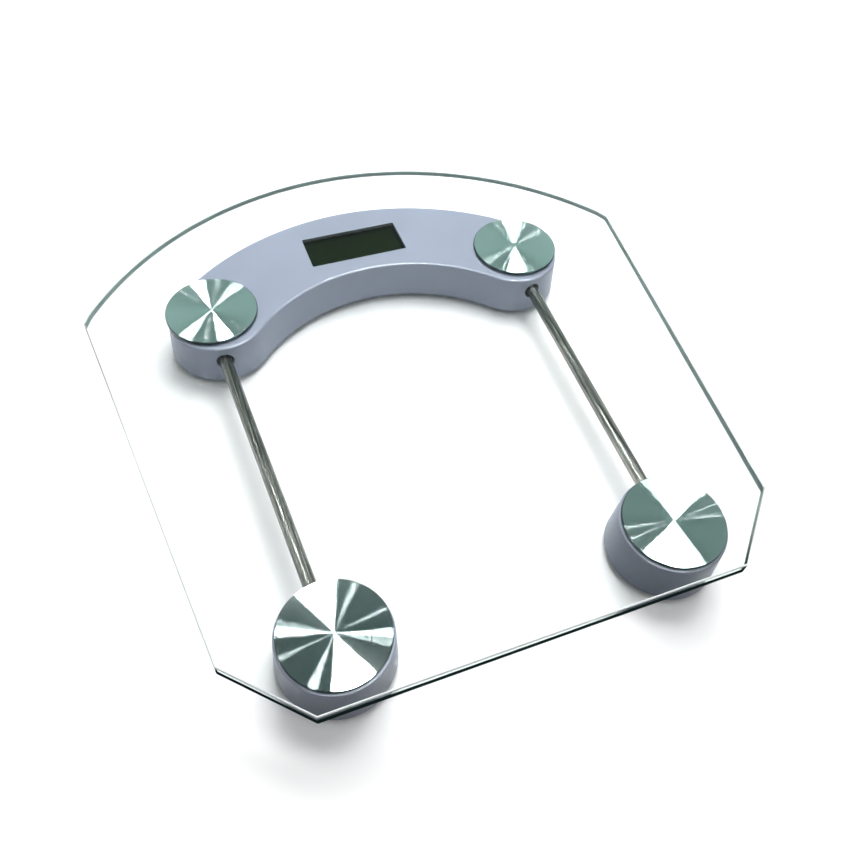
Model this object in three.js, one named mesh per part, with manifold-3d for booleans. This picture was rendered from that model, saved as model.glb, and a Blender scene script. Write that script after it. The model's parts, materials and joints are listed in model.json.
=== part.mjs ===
// Digital bathroom scale: a tempered-glass platform bonded to four aluminium discs, which stand on
// a bow-shaped display housing at the rear and two round foot housings at the front. Two steel
// tubes join the housings and carry the sensor cables. Millimetres, +Z up, +Y towards the display.
import * as THREE from "three";
import { mergeVertices } from "three/addons/utils/BufferGeometryUtils.js";
import Module from "manifold-3d";

const wasm = await Module();
wasm.setup();

// ---- Driving dimensions -------------------------------------------------------------------------

const GAP = 0.3; // between pieces that touch
const PLAY = 0.4; // round a piece that passes through a hole

// Heights above the floor.
const BASE_Z = 4; // underside of the housings
const COVER_T = 2; // base cover thickness
const COVER_TOP = BASE_Z + COVER_T;
const HOUSING_TOP = 27.7;
const DISC_T = 2;
const DISC_Z = HOUSING_TOP + GAP;
const GLASS_T = 8;
const GLASS_Z = DISC_Z + DISC_T + GAP;

// Glass outline: straight front, chamfered front corners, sides that widen to the rear, and a
// rear edge that is one arc.
const GLASS = {
  front: -170,
  rear: 170,
  frontHalf: 104,
  chamferHalf: 138,
  chamferY: -136,
  sideHalf: 165,
  sideY: 79,
  rearHalf: 161.5,
  rearY: 86,
  edgeBevel: 0.8,
};

// Housings: plastic shells whose walls lean outwards going down.
const WALL = 2.2;
const DRAFT = 0.068; // mm outwards for each mm down
const BOW = { centreY: -20, radius: 131, halfWidth: 27.7, endAngle: THREE.MathUtils.degToRad(45.7) };
const FRONT_RADIUS = 27;
const ROOF_Z = HOUSING_TOP - WALL;

// Where the four corners stand. A disc sits a little outboard of its rear housing end.
const DISC_R = 26;
const FRONT_X = 86.5;
const FRONT_Y = -135.7;
const REAR_DISC_X = 96.2;
const REAR_DISC_Y = 74;
const REAR_END_X = BOW.radius * Math.sin(BOW.endAngle);
const REAR_END_Y = BOW.centreY + BOW.radius * Math.cos(BOW.endAngle);

// Tubes between the front and rear housings.
const TUBE_R = 3.5;
const TUBE_BORE = 2.8;
const TUBE_Z = 18.5;
const TUBE_FRONT = { x: 88.9, y: -116 };
const TUBE_REAR = { x: 96.7, y: 52 };
const CABLE_R = 1.2;
const LEAD_R = 0.9;

// Feet and load cells.
const PAD = { radius: 12.5, height: 2.4, chamfer: 0.8 };
const CAP = { radius: 13, lip: 14.3, lipZ: 6.3, lipTop: 7.3, stem: 4, top: 9 };
const CELL = { half: 17, corner: 3, z: 9.3, thickness: 1.6 };
const RING = { inner: 14.6, outer: 16.6, top: 9 };

// Screws.
const SCREW = { shank: 1.3, head: 2.6, headZ: 4.2, headT: 0.7, top: 13.5 };
const BOSS_R = 3.5;
const SCREW_HOLE_R = SCREW.shank + GAP;
const SCREW_OFFSET = 22.3; // from the middle of a foot to its cover screws
const DISC_SCREW = { shank: 1.9, head: 7, headT: 1.3 };
const DISC_BOSS_R = 5;
const DISC_SKIN = 1; // metal left above the blind screw hole

// Display, electronics and battery, all in the middle of the bow.
const WINDOW = { width: 60.5, depth: 25.8, y: 107.3 };
const LENS = { width: 64.5, depth: 29.8, thickness: 1 };
const LCD = { width: 63, depth: 31, z: 21, thickness: 2.9 };
const BOARD = { width: 70, depth: 34, z: 15.1, thickness: 1.6, y: 108 };
const CONNECTOR = { width: 54, depth: 2.4, fromEdge: 2 };
const CHIP = { x: 2, y: 114, radius: 5.8, height: 1.2 };
const SWITCH = { width: 6, height: 2.7, plungerR: 1.6, plungerLength: 1 };
const BATTERY = { x: -22, y: 108, wellWidth: 26, wellDepth: 25, wellTop: 10.8 };
const COIN_CELL = { radius: 10, z: 6.3, top: 9.5, capRadius: 8.6 };
const DOOR = { width: 30, depth: 28, thickness: 1.7, pinR: 0.8, pinOffset: 1.5, lug: 5, lugX: 8 };
const BUTTON = { x: 20, y: 108, radius: 4, flange: 5.2, stem: 2, z: 4.5, top: 10.2 };

// How many flats stand for one full turn.
const FLATS = { housing: 40, disc: 32, foot: 24, small: 16, screw: 8, cable: 6 };
const ARC_STEPS = { bow: 9, glass: 24 };

// ---- Solids -------------------------------------------------------------------------------------

function toSolid(geometry) {
  const bare = geometry.index ? geometry.toNonIndexed() : geometry.clone();
  bare.deleteAttribute("normal");
  bare.deleteAttribute("uv");
  const merged = mergeVertices(bare, 1e-4);
  const vertProperties = merged.attributes.position.array;
  const triVerts = new Uint32Array(merged.index.array);
  return new wasm.Manifold(new wasm.Mesh({ numProp: 3, vertProperties, triVerts }));
}

function toGeometry(solid) {
  const mesh = solid.getMesh();
  const geometry = new THREE.BufferGeometry();
  geometry.setAttribute("position", new THREE.BufferAttribute(mesh.vertProperties, 3));
  geometry.setIndex(new THREE.BufferAttribute(mesh.triVerts, 1));
  geometry.computeVertexNormals();
  return geometry;
}

/** The base geometry with the added ones joined to it and the removed ones cut from it. */
function combine(base, { add = [], remove = [] }) {
  let solid = toSolid(base);
  for (const piece of add) solid = solid.add(toSolid(piece));
  for (const piece of remove) solid = solid.subtract(toSolid(piece));
  return toGeometry(solid);
}

/** A turned piece about a vertical axis; its profile is [radius, z] points, from bottom to top. */
function turned(profile, segments, x = 0, y = 0) {
  const points = profile.map(([radius, z]) => new THREE.Vector2(radius, z));
  const geometry = new THREE.LatheGeometry(points, segments);
  geometry.rotateX(Math.PI / 2);
  return geometry.translate(x, y, 0);
}

function rod(radius, z0, z1, x, y, segments = FLATS.small) {
  const geometry = new THREE.CylinderGeometry(radius, radius, z1 - z0, segments);
  geometry.rotateX(Math.PI / 2);
  return geometry.translate(x, y, (z0 + z1) / 2);
}

function block(width, depth, z0, z1, x, y) {
  const geometry = new THREE.BoxGeometry(width, depth, z1 - z0);
  return geometry.translate(x, y, (z0 + z1) / 2);
}

function extruded(shape, z0, z1, curveSegments = 12) {
  const options = { depth: z1 - z0, bevelEnabled: false, curveSegments };
  return new THREE.ExtrudeGeometry(shape, options).translate(0, 0, z0);
}

// ---- Glass platform -----------------------------------------------------------------------------

function glassGeometry() {
  const g = GLASS;
  const sagitta = g.rear - g.rearY;
  const radius = (g.rearHalf ** 2 + sagitta ** 2) / (2 * sagitta);
  const centreY = g.rear - radius;
  const halfAngle = Math.asin(g.rearHalf / radius);
  const outline = new THREE.Shape();
  outline.moveTo(-g.frontHalf, g.front);
  outline.lineTo(g.frontHalf, g.front);
  outline.lineTo(g.chamferHalf, g.chamferY);
  outline.lineTo(g.sideHalf, g.sideY);
  outline.absarc(0, centreY, radius, Math.PI / 2 - halfAngle, Math.PI / 2 + halfAngle, false);
  outline.lineTo(-g.sideHalf, g.sideY);
  outline.lineTo(-g.chamferHalf, g.chamferY);
  outline.closePath();
  const geometry = new THREE.ExtrudeGeometry(outline, {
    depth: GLASS_T - 2 * g.edgeBevel,
    curveSegments: ARC_STEPS.glass,
    bevelThickness: g.edgeBevel,
    bevelSize: g.edgeBevel,
    bevelOffset: -g.edgeBevel,
    bevelSegments: 1,
  });
  return geometry.translate(0, 0, GLASS_Z + g.edgeBevel);
}

// ---- Corners: discs, load cells and feet --------------------------------------------------------

/** An aluminium disc with a boss below, which its screw enters from inside the housing. */
function discGeometry(x, y) {
  const edge = 0.4;
  const bossZ = ROOF_Z + 0.4;
  const top = DISC_Z + DISC_T;
  const profile = [
    [0, top - DISC_SKIN],
    [DISC_SCREW.shank + GAP, top - DISC_SKIN],
    [DISC_SCREW.shank + GAP, bossZ],
    [DISC_BOSS_R, bossZ],
    [DISC_BOSS_R, DISC_Z],
    [DISC_R, DISC_Z],
    [DISC_R, top - edge],
    [DISC_R - edge, top],
    [0, top],
  ];
  return turned(profile, FLATS.disc, x, y);
}

function discScrewGeometry(x, y) {
  const headTop = ROOF_Z - GAP;
  const profile = [
    [0, headTop - DISC_SCREW.headT],
    [DISC_SCREW.head, headTop - DISC_SCREW.headT],
    [DISC_SCREW.head, headTop],
    [DISC_SCREW.shank, headTop],
    [DISC_SCREW.shank, DISC_Z + DISC_T - DISC_SKIN - GAP],
    [0, DISC_Z + DISC_T - DISC_SKIN - GAP],
  ];
  return turned(profile, FLATS.small, x, y);
}

/** A pressed-steel half-bridge load cell: a square plate with a tongue freed by a U-shaped slot. */
function loadCellGeometry(x, y) {
  const { half, corner, z, thickness } = CELL;
  const plate = new THREE.Shape();
  plate.moveTo(-half + corner, -half);
  plate.lineTo(half - corner, -half);
  plate.lineTo(half, -half + corner);
  plate.lineTo(half, half - corner);
  plate.lineTo(half - corner, half);
  plate.lineTo(-half + corner, half);
  plate.lineTo(-half, half - corner);
  plate.lineTo(-half, -half + corner);
  plate.closePath();
  const slotHalf = 11;
  const slotWidth = 2;
  const slot = new THREE.Path();
  slot.moveTo(-slotHalf, -slotHalf);
  slot.lineTo(slotHalf, -slotHalf);
  slot.lineTo(slotHalf, slotHalf);
  slot.lineTo(slotHalf - slotWidth, slotHalf);
  slot.lineTo(slotHalf - slotWidth, -slotHalf + slotWidth);
  slot.lineTo(-slotHalf + slotWidth, -slotHalf + slotWidth);
  slot.lineTo(-slotHalf + slotWidth, slotHalf);
  slot.lineTo(-slotHalf, slotHalf);
  slot.closePath();
  plate.holes.push(slot);
  return extruded(plate, z, z + thickness).translate(x, y, 0);
}

/** The cap of a foot: a lip keeps it in its cover and a stem meets the load cell's tongue. */
function footCapGeometry(x, y) {
  const profile = [
    [0, PAD.height + GAP],
    [CAP.radius, PAD.height + GAP],
    [CAP.radius, CAP.lipZ],
    [CAP.lip, CAP.lipZ],
    [CAP.lip, CAP.lipTop],
    [CAP.stem, CAP.lipTop],
    [CAP.stem, CAP.top],
    [0, CAP.top],
  ];
  return turned(profile, FLATS.foot, x, y);
}

function footPadGeometry(x, y) {
  const profile = [
    [0, 0],
    [PAD.radius - PAD.chamfer, 0],
    [PAD.radius, PAD.chamfer],
    [PAD.radius, PAD.height],
    [0, PAD.height],
  ];
  return turned(profile, FLATS.foot, x, y);
}

/** Additions and cuts that a base cover needs round one foot. */
function footSeat(x, y) {
  const ring = [
    [RING.inner, COVER_TOP - 0.1],
    [RING.outer, COVER_TOP - 0.1],
    [RING.outer, RING.top],
    [RING.inner, RING.top],
    [RING.inner, COVER_TOP - 0.1],
  ];
  return {
    add: [turned(ring, FLATS.foot, x, y)],
    remove: [rod(CAP.radius + PLAY, BASE_Z - 1, COVER_TOP + 1, x, y, FLATS.foot)],
  };
}

// ---- Screws -------------------------------------------------------------------------------------

/** A cover screw. */
function screwGeometry(x, y) {
  const headTop = SCREW.headZ + SCREW.headT;
  const profile = [
    [0, SCREW.headZ],
    [SCREW.head, SCREW.headZ],
    [SCREW.head, headTop],
    [SCREW.shank, headTop],
    [SCREW.shank, SCREW.top],
    [0, SCREW.top],
  ];
  return turned(profile, FLATS.screw, x, y);
}

/** Cuts for one screw in a base cover: a clear hole and a sunk seat for the head. */
function screwSeat([x, y]) {
  return [
    rod(SCREW_HOLE_R, BASE_Z - 1, COVER_TOP + 1, x, y, FLATS.screw),
    rod(SCREW.head + 0.6, BASE_Z - 1, SCREW.headZ + SCREW.headT + GAP, x, y, FLATS.screw),
  ];
}

/** A boss hanging from the roof of a housing, and the pilot hole up into it. */
function screwBoss([x, y]) {
  return {
    add: rod(BOSS_R, COVER_TOP + GAP, ROOF_Z + 0.1, x, y, FLATS.screw),
    remove: rod(SCREW_HOLE_R, COVER_TOP, SCREW.top + 1.5, x, y, FLATS.screw),
  };
}

// ---- Tubes, grommets and cables -----------------------------------------------------------------

/** Turns a geometry built along +Z so that it runs along the tube from the given point on it. */
function alongTube(geometry, side, distance, reversed = false) {
  const start = new THREE.Vector3(side * TUBE_FRONT.x, TUBE_FRONT.y, TUBE_Z);
  const end = new THREE.Vector3(side * TUBE_REAR.x, TUBE_REAR.y, TUBE_Z);
  const direction = end.clone().sub(start).normalize();
  const place = start.addScaledVector(direction, distance);
  const facing = reversed ? direction.clone().negate() : direction;
  const turn = new THREE.Quaternion().setFromUnitVectors(new THREE.Vector3(0, 0, 1), facing);
  return geometry.applyQuaternion(turn).translate(place.x, place.y, place.z);
}

const TUBE_LENGTH = Math.hypot(TUBE_REAR.x - TUBE_FRONT.x, TUBE_REAR.y - TUBE_FRONT.y);

function tubeGeometry(side) {
  const profile = [
    [TUBE_BORE, 0],
    [TUBE_R, 0],
    [TUBE_R, TUBE_LENGTH],
    [TUBE_BORE, TUBE_LENGTH],
    [TUBE_BORE, 0],
  ];
  return alongTube(turned(profile, FLATS.small), side, 0);
}

const GROMMET = { bore: TUBE_R + GAP, sleeve: 4.7, flange: 6.2, length: 4.4, flangeAt: 3, inset: 3 };

/** A rubber grommet: its sleeve fills the hole in the wall and its flange is inside. */
function grommetGeometry(side, atRear) {
  const profile = [
    [GROMMET.bore, 0],
    [GROMMET.sleeve, 0],
    [GROMMET.sleeve, GROMMET.flangeAt],
    [GROMMET.flange, GROMMET.flangeAt],
    [GROMMET.flange, GROMMET.length],
    [GROMMET.bore, GROMMET.length],
    [GROMMET.bore, 0],
  ];
  const fromEnd = GROMMET.length + GROMMET.inset;
  const distance = atRear ? TUBE_LENGTH - fromEnd : fromEnd;
  return alongTube(turned(profile, FLATS.small), side, distance, !atRear);
}

/** The hole that a tube and its grommet pass through, across one wall. */
function tubeHole(side, atRear) {
  const reach = 8;
  const hole = rod(GROMMET.sleeve + GAP, -reach, reach, 0, 0);
  return alongTube(hole, side, atRear ? TUBE_LENGTH - reach : reach);
}

/** A cable through the given points. */
function cableGeometry(points, radius, steps) {
  const path = new THREE.CatmullRomCurve3(points.map((p) => new THREE.Vector3(...p)));
  const section = new THREE.Shape();
  section.absarc(0, 0, radius, 0, 2 * Math.PI, false);
  const curveSegments = FLATS.cable / 2;
  return new THREE.ExtrudeGeometry(section, { steps, extrudePath: path, curveSegments });
}

function sensorCableGeometry(side) {
  const route = [
    [side * 87.9, -124, TUBE_Z],
    [side * 89.1, -112, TUBE_Z],
    [side * 92.8, -32, TUBE_Z],
    [side * 96.5, 47, TUBE_Z],
    [side * 96.6, 60, TUBE_Z],
    [side * 90, 80, TUBE_Z],
    [side * 74, 94, TUBE_Z],
    [side * 56, 103, TUBE_Z],
    [side * 34, 112, TUBE_Z],
  ];
  return cableGeometry(route, CABLE_R, 32);
}

function cellLeadGeometry(side) {
  const leadZ = CELL.z + CELL.thickness + LEAD_R + GAP;
  const route = [
    [side * 90, 78, leadZ],
    [side * 82, 84, leadZ],
    [side * 64, 92, 14],
    [side * 46, 98, TUBE_Z],
    [side * 34, 102, TUBE_Z],
  ];
  return cableGeometry(route, LEAD_R, 12);
}

// ---- Display housing and its base cover ---------------------------------------------------------

/** The bow outline: an arc-shaped band with round ends. */
function bowShape(halfWidth) {
  const { centreY, radius, endAngle } = BOW;
  const right = Math.PI / 2 - endAngle;
  const left = Math.PI / 2 + endAngle;
  const shape = new THREE.Shape();
  shape.absarc(0, centreY, radius + halfWidth, right, left, false);
  shape.absarc(-REAR_END_X, REAR_END_Y, halfWidth, left, left + Math.PI, false);
  shape.absarc(0, centreY, radius - halfWidth, left, right, true);
  shape.absarc(REAR_END_X, REAR_END_Y, halfWidth, right + Math.PI, right + 2 * Math.PI, false);
  return shape;
}

/** A bow-shaped solid whose half width is the given one at the housing's top and grows downwards. */
function bowGeometry(topHalfWidth, z0, z1) {
  const geometry = extruded(bowShape(topHalfWidth), z0, z1, ARC_STEPS.bow);
  const position = geometry.attributes.position;
  for (let i = 0; i < position.count; i++) {
    const x = position.getX(i);
    const y = position.getY(i);
    const fromAxis = Math.atan2(x, y - BOW.centreY);
    const angle = THREE.MathUtils.clamp(fromAxis, -BOW.endAngle, BOW.endAngle);
    const spineX = BOW.radius * Math.sin(angle);
    const spineY = BOW.centreY + BOW.radius * Math.cos(angle);
    const grow = 1 + (DRAFT * (HOUSING_TOP - position.getZ(i))) / topHalfWidth;
    position.setXY(i, spineX + (x - spineX) * grow, spineY + (y - spineY) * grow);
  }
  return geometry;
}

const BOW_SCREWS = [-1, 1].flatMap((side) => [
  [side * (REAR_END_X + SCREW_OFFSET), REAR_END_Y],
  [side * (REAR_END_X - SCREW_OFFSET), REAR_END_Y],
  [side * 48, 82],
]);

function displayHousingGeometry() {
  const bosses = BOW_SCREWS.map(screwBoss);
  const shell = combine(bowGeometry(BOW.halfWidth, BASE_Z, HOUSING_TOP), {
    remove: [bowGeometry(BOW.halfWidth - WALL, BASE_Z - 1, ROOF_Z)],
  });
  const cuts = bosses.map((boss) => boss.remove);
  cuts.push(block(WINDOW.width, WINDOW.depth, ROOF_Z - 1, HOUSING_TOP + 1, 0, WINDOW.y));
  for (const side of [-1, 1]) {
    cuts.push(tubeHole(side, true));
    cuts.push(rod(DISC_BOSS_R + PLAY, ROOF_Z - 1, HOUSING_TOP + 1, side * REAR_DISC_X, REAR_DISC_Y));
  }
  return combine(shell, { add: bosses.map((boss) => boss.add), remove: cuts });
}

/** The battery well's walls and ceiling, which stand on the cover, and the room inside it. */
function batteryWell() {
  const { x, y, wellWidth, wellDepth, wellTop } = BATTERY;
  const wall = 4;
  const ceiling = 1.5;
  return {
    add: [block(wellWidth + 2 * wall, wellDepth + 2 * wall, COVER_TOP - 0.1, wellTop + ceiling, x, y)],
    remove: [
      block(wellWidth, wellDepth, BASE_Z - 1, wellTop, x, y),
      block(DOOR.width + 2 * GAP, DOOR.depth + 2 * GAP, BASE_Z - 1, COVER_TOP, x, y),
    ],
  };
}

/** Cuts for the door's two hinge lugs and for the finger that opens it. */
function doorCuts() {
  const lugDepth = 3.6;
  const hingeY = BATTERY.y + DOOR.depth / 2 + lugDepth / 2;
  const cuts = [-1, 1].map((side) => {
    const x = BATTERY.x + side * DOOR.lugX;
    return block(DOOR.lug + 2 * GAP, lugDepth, BASE_Z - 1, COVER_TOP, x, hingeY);
  });
  const fingerR = 6;
  cuts.push(rod(fingerR, BASE_Z - 1, BASE_Z + 1.2, BATTERY.x, BATTERY.y - DOOR.depth / 2));
  return cuts;
}

function displayBaseCoverGeometry() {
  const seats = [-1, 1].map((side) => footSeat(side * REAR_END_X, REAR_END_Y));
  const well = batteryWell();
  const halfWidth = BOW.halfWidth - WALL - GAP;
  return combine(bowGeometry(halfWidth, BASE_Z, COVER_TOP), {
    add: [...seats.flatMap((seat) => seat.add), ...well.add],
    remove: [
      ...seats.flatMap((seat) => seat.remove),
      ...well.remove,
      ...doorCuts(),
      ...BOW_SCREWS.flatMap(screwSeat),
      rod(BUTTON.radius + PLAY, BASE_Z - 1, COVER_TOP + 1, BUTTON.x, BUTTON.y),
    ],
  });
}

// ---- Front foot housings and their base covers --------------------------------------------------

const frontScrews = (x) => [
  [x - SCREW_OFFSET, FRONT_Y],
  [x + SCREW_OFFSET, FRONT_Y],
];

function frontHousingGeometry(side) {
  const x = side * FRONT_X;
  const spread = DRAFT * (HOUSING_TOP - BASE_Z);
  const roofSpread = DRAFT * WALL;
  const edge = 0.6;
  const profile = [
    [FRONT_RADIUS + spread - WALL, BASE_Z],
    [FRONT_RADIUS + spread, BASE_Z],
    [FRONT_RADIUS + DRAFT * edge, HOUSING_TOP - edge],
    [FRONT_RADIUS - edge, HOUSING_TOP],
    [0, HOUSING_TOP],
    [0, ROOF_Z],
    [FRONT_RADIUS + roofSpread - WALL, ROOF_Z],
    [FRONT_RADIUS + spread - WALL, BASE_Z],
  ];
  const bosses = frontScrews(x).map(screwBoss);
  return combine(turned(profile, FLATS.housing, x, FRONT_Y), {
    add: bosses.map((boss) => boss.add),
    remove: [
      ...bosses.map((boss) => boss.remove),
      tubeHole(side, false),
      rod(DISC_BOSS_R + PLAY, ROOF_Z - 1, HOUSING_TOP + 1, x, FRONT_Y),
    ],
  });
}

function frontBaseCoverGeometry(side) {
  const x = side * FRONT_X;
  const radiusAt = (z) => FRONT_RADIUS + DRAFT * (HOUSING_TOP - z) - WALL - GAP;
  const profile = [
    [0, BASE_Z],
    [radiusAt(BASE_Z), BASE_Z],
    [radiusAt(COVER_TOP), COVER_TOP],
    [0, COVER_TOP],
  ];
  const seat = footSeat(x, FRONT_Y);
  return combine(turned(profile, FLATS.housing, x, FRONT_Y), {
    add: seat.add,
    remove: [...seat.remove, ...frontScrews(x).flatMap(screwSeat)],
  });
}

// ---- Display, electronics and battery -----------------------------------------------------------

function lensGeometry() {
  const top = ROOF_Z - GAP;
  return block(LENS.width, LENS.depth, top - LENS.thickness, top, 0, WINDOW.y);
}

const lcdGeometry = () => block(LCD.width, LCD.depth, LCD.z, LCD.z + LCD.thickness, 0, WINDOW.y);

/** The zebra strip that joins the display's contacts to the board. */
function lcdConnectorGeometry() {
  const boardTop = BOARD.z + BOARD.thickness;
  const y = WINDOW.y - LCD.depth / 2 + CONNECTOR.fromEdge;
  return block(CONNECTOR.width, CONNECTOR.depth, boardTop + GAP, LCD.z - GAP, 0, y);
}

/** The circuit board, with four notched corners. */
function boardGeometry() {
  const { width, depth, z, thickness, y } = BOARD;
  const notch = 3;
  const corners = [-1, 1].flatMap((sx) =>
    [-1, 1].map((sy) =>
      block(notch, notch, z - 1, z + thickness + 1, (sx * width) / 2, y + (sy * depth) / 2),
    ),
  );
  return combine(block(width, depth, z, z + thickness, 0, y), { remove: corners });
}

/** The bonded chip under its drop of resin. */
function chipGeometry() {
  const top = BOARD.z - GAP;
  const { radius, height } = CHIP;
  const profile = [
    [0, top - height],
    [0.55 * radius, top - 0.92 * height],
    [0.9 * radius, top - 0.5 * height],
    [radius, top],
    [0, top],
  ];
  return turned(profile, FLATS.small, CHIP.x, CHIP.y);
}

/** The tactile switch above the unit button: a square body with a round plunger below. */
function switchGeometry() {
  const top = BOARD.z - GAP;
  const under = top - SWITCH.height;
  const middle = top - SWITCH.height / 2;
  const body = block(SWITCH.width, SWITCH.width, under, top, BUTTON.x, BUTTON.y);
  const plunger = rod(SWITCH.plungerR, under - SWITCH.plungerLength, middle, BUTTON.x, BUTTON.y);
  return combine(body, { add: [plunger] });
}

/** The unit button: a cap in the cover, a flange that keeps it in, and a stem to the switch. */
function buttonGeometry() {
  const edge = 0.4;
  const flangeZ = COVER_TOP + 0.4;
  const flangeTop = flangeZ + 1;
  const profile = [
    [0, BUTTON.z],
    [BUTTON.radius - edge, BUTTON.z],
    [BUTTON.radius, BUTTON.z + edge],
    [BUTTON.radius, flangeZ],
    [BUTTON.flange, flangeZ],
    [BUTTON.flange, flangeTop],
    [BUTTON.stem, flangeTop],
    [BUTTON.stem, BUTTON.top],
    [0, BUTTON.top],
  ];
  return turned(profile, FLATS.small, BUTTON.x, BUTTON.y);
}

/** A 20 mm lithium coin cell, its negative cap uppermost. */
function coinCellGeometry() {
  const { radius, z, top, capRadius } = COIN_CELL;
  const edge = 0.4;
  const rim = top - 0.3;
  const profile = [
    [0, z],
    [radius - edge, z],
    [radius, z + edge],
    [radius, rim - 0.1],
    [radius - edge, rim],
    [capRadius + 0.2, rim],
    [capRadius, top],
    [0, top],
  ];
  return turned(profile, FLATS.foot, BATTERY.x, BATTERY.y);
}

/** The negative contact: a strip under the well's ceiling with a domed point towards the cell. */
function negativeContactGeometry() {
  const { x, y, wellTop } = BATTERY;
  const top = wellTop - GAP;
  const strip = block(5, 18, top - 0.4, top, x, y);
  const tip = COIN_CELL.top + GAP;
  const dome = [
    [0, tip],
    [1, tip + 0.1],
    [1.8, top - 0.3],
    [0, top - 0.3],
  ];
  return combine(strip, { add: [turned(dome, FLATS.screw, x, y)] });
}

/** The positive contact: a bent strip beside the cell's rim. */
function positiveContactGeometry() {
  const { x, y, wellTop } = BATTERY;
  const width = 8;
  const top = wellTop - GAP;
  const rimY = y + COIN_CELL.radius;
  const upright = block(width, 0.5, COIN_CELL.z + 0.1, top, x, rimY + 0.7);
  const foot = block(width, 1.6, top - 0.5, top, x, rimY + 1.3);
  return combine(upright, { add: [foot] });
}

/** The battery door: a plate with two hinge lugs behind and a finger lip in front. */
function doorGeometry() {
  const { x, y } = BATTERY;
  const top = BASE_Z + DOOR.thickness;
  const pinY = y + DOOR.depth / 2 + DOOR.pinOffset;
  const pinZ = BASE_Z + DOOR.thickness / 2;
  const armHalf = 0.7;
  const lugs = [-1, 1].flatMap((side) => {
    const lugX = x + side * DOOR.lugX;
    const barrel = new THREE.CylinderGeometry(DOOR.pinR, DOOR.pinR, DOOR.lug, FLATS.small);
    barrel.rotateZ(Math.PI / 2).translate(lugX, pinY, pinZ);
    const armDepth = DOOR.pinOffset + 0.5;
    const arm = block(DOOR.lug, armDepth, pinZ - armHalf, pinZ + armHalf, lugX, pinY - armDepth / 2);
    return [barrel, arm];
  });
  const groove = { count: 3, width: 12, depth: 0.8, cut: 0.4, pitch: 2, fromEdge: 4 };
  const grooves = Array.from({ length: groove.count }, (_, i) => {
    const grooveY = y - DOOR.depth / 2 + groove.fromEdge + groove.pitch * i;
    return block(groove.width, groove.depth, BASE_Z - 1, BASE_Z + groove.cut, x, grooveY);
  });
  return combine(block(DOOR.width, DOOR.depth, BASE_Z, top, x, y), { add: lugs, remove: grooves });
}

// ---- Materials ----------------------------------------------------------------------------------

const finish = (color, roughness, metalness = 0, more = {}) =>
  () => new THREE.MeshStandardMaterial({ color, roughness, metalness, ...more });

const clearGlass = finish(0xe4f4ee, 0.05, 0, { transparent: true, opacity: 0.35 });
const clearPlastic = finish(0xd8e2dc, 0.1, 0, { transparent: true, opacity: 0.4 });
const spunAluminium = finish(0xc9cfce, 0.25, 1);
const brushedSteel = finish(0x9a9a96, 0.3, 1);
const springSteel = finish(0xb8b8b2, 0.35, 1);
const bluePlastic = finish(0xb2bccf, 0.45);
const greyPlastic = finish(0x8f97a8, 0.55);
const darkRubber = finish(0x2b2d30, 0.85);
const padRubber = finish(0xc3c8cc, 0.8);
const displayGreen = finish(0x39452f, 0.2);
const boardGreen = finish(0x1f5a38, 0.5);
const blackResin = finish(0x101010, 0.4);
const cableSheath = finish(0x34373b, 0.6);

// ---- Assembly -----------------------------------------------------------------------------------

const scale = new THREE.Group();

function place(name, geometry, material) {
  const mesh = new THREE.Mesh(geometry, material());
  mesh.name = name;
  scale.add(mesh);
}

place("glass_platform", glassGeometry(), clearGlass);
place("display_housing", displayHousingGeometry(), bluePlastic);
place("display_base_cover", displayBaseCoverGeometry(), greyPlastic);
place("lcd_window", lensGeometry(), clearPlastic);
place("lcd_panel", lcdGeometry(), displayGreen);
place("lcd_connector", lcdConnectorGeometry(), blackResin);
place("circuit_board", boardGeometry(), boardGreen);
place("controller_chip", chipGeometry(), blackResin);
place("unit_switch", switchGeometry(), blackResin);
place("unit_button", buttonGeometry(), darkRubber);
place("coin_cell", coinCellGeometry(), springSteel);
place("battery_contact_negative", negativeContactGeometry(), springSteel);
place("battery_contact_positive", positiveContactGeometry(), springSteel);
place("battery_door", doorGeometry(), greyPlastic);
BOW_SCREWS.forEach(([x, y], i) => {
  place(`bow_cover_screw_${i + 1}`, screwGeometry(x, y), springSteel);
});

for (const [hand, side] of [["left", -1], ["right", 1]]) {
  place(`connecting_tube_${hand}`, tubeGeometry(side), brushedSteel);
  place(`tube_grommet_front_${hand}`, grommetGeometry(side, false), darkRubber);
  place(`tube_grommet_rear_${hand}`, grommetGeometry(side, true), darkRubber);
  place(`sensor_cable_${hand}`, sensorCableGeometry(side), cableSheath);
  place(`rear_cell_lead_${hand}`, cellLeadGeometry(side), cableSheath);
  place(`front_foot_housing_${hand}`, frontHousingGeometry(side), bluePlastic);
  place(`front_base_cover_${hand}`, frontBaseCoverGeometry(side), greyPlastic);
  frontScrews(side * FRONT_X).forEach(([x, y], i) => {
    place(`front_cover_screw_${hand}_${i + 1}`, screwGeometry(x, y), springSteel);
  });

  const corners = [
    { end: "front", disc: [FRONT_X, FRONT_Y], foot: [FRONT_X, FRONT_Y] },
    { end: "rear", disc: [REAR_DISC_X, REAR_DISC_Y], foot: [REAR_END_X, REAR_END_Y] },
  ];
  for (const { end, disc, foot } of corners) {
    const corner = `${end}_${hand}`;
    place(`mount_disc_${corner}`, discGeometry(side * disc[0], disc[1]), spunAluminium);
    place(`disc_screw_${corner}`, discScrewGeometry(side * disc[0], disc[1]), springSteel);
    place(`load_cell_${corner}`, loadCellGeometry(side * foot[0], foot[1]), springSteel);
    place(`foot_cap_${corner}`, footCapGeometry(side * foot[0], foot[1]), greyPlastic);
    place(`foot_pad_${corner}`, footPadGeometry(side * foot[0], foot[1]), padRubber);
  }
}

export default scale;
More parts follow.
